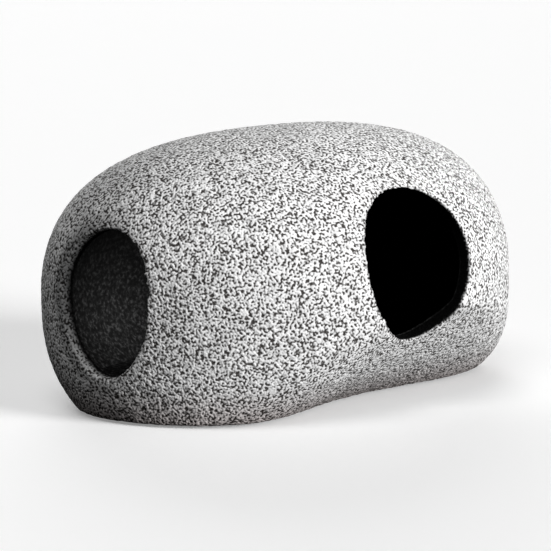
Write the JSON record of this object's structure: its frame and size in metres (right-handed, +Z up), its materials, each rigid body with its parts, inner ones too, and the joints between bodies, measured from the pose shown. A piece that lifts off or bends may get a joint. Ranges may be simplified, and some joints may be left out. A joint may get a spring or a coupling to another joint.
{
  "type": "resin cave ornament",
  "caption": "Hollow resin river stone with a granular granite coat, a mouth in one end and a mouth in the front, for small fish to hide in.",
  "frame": {"origin": "middle of the plan, on the plane that the sanded feet rest on", "axes": "+X along the stone, away from the side mouth; -Y the front, with the front mouth; +Z up"},
  "size_m": [0.1208, 0.0848, 0.062],
  "materials": {
    "resin": "cast polyresin, matt, sanded on the feet",
    "adhesive": "cured adhesive, dull",
    "granite": "granular black, white and grey stone effect, matt",
    "dark_coat": "thin near-black coat with sparse grains, matt"
  },
  "bodies": {
    "root": {"upper_shell": "resin", "lower_shell": "resin", "bond_front": "adhesive", "bond_back": "adhesive", "granite_coat": "granite", "cavity_coat": "dark_coat"}
  },
  "joints": []
}
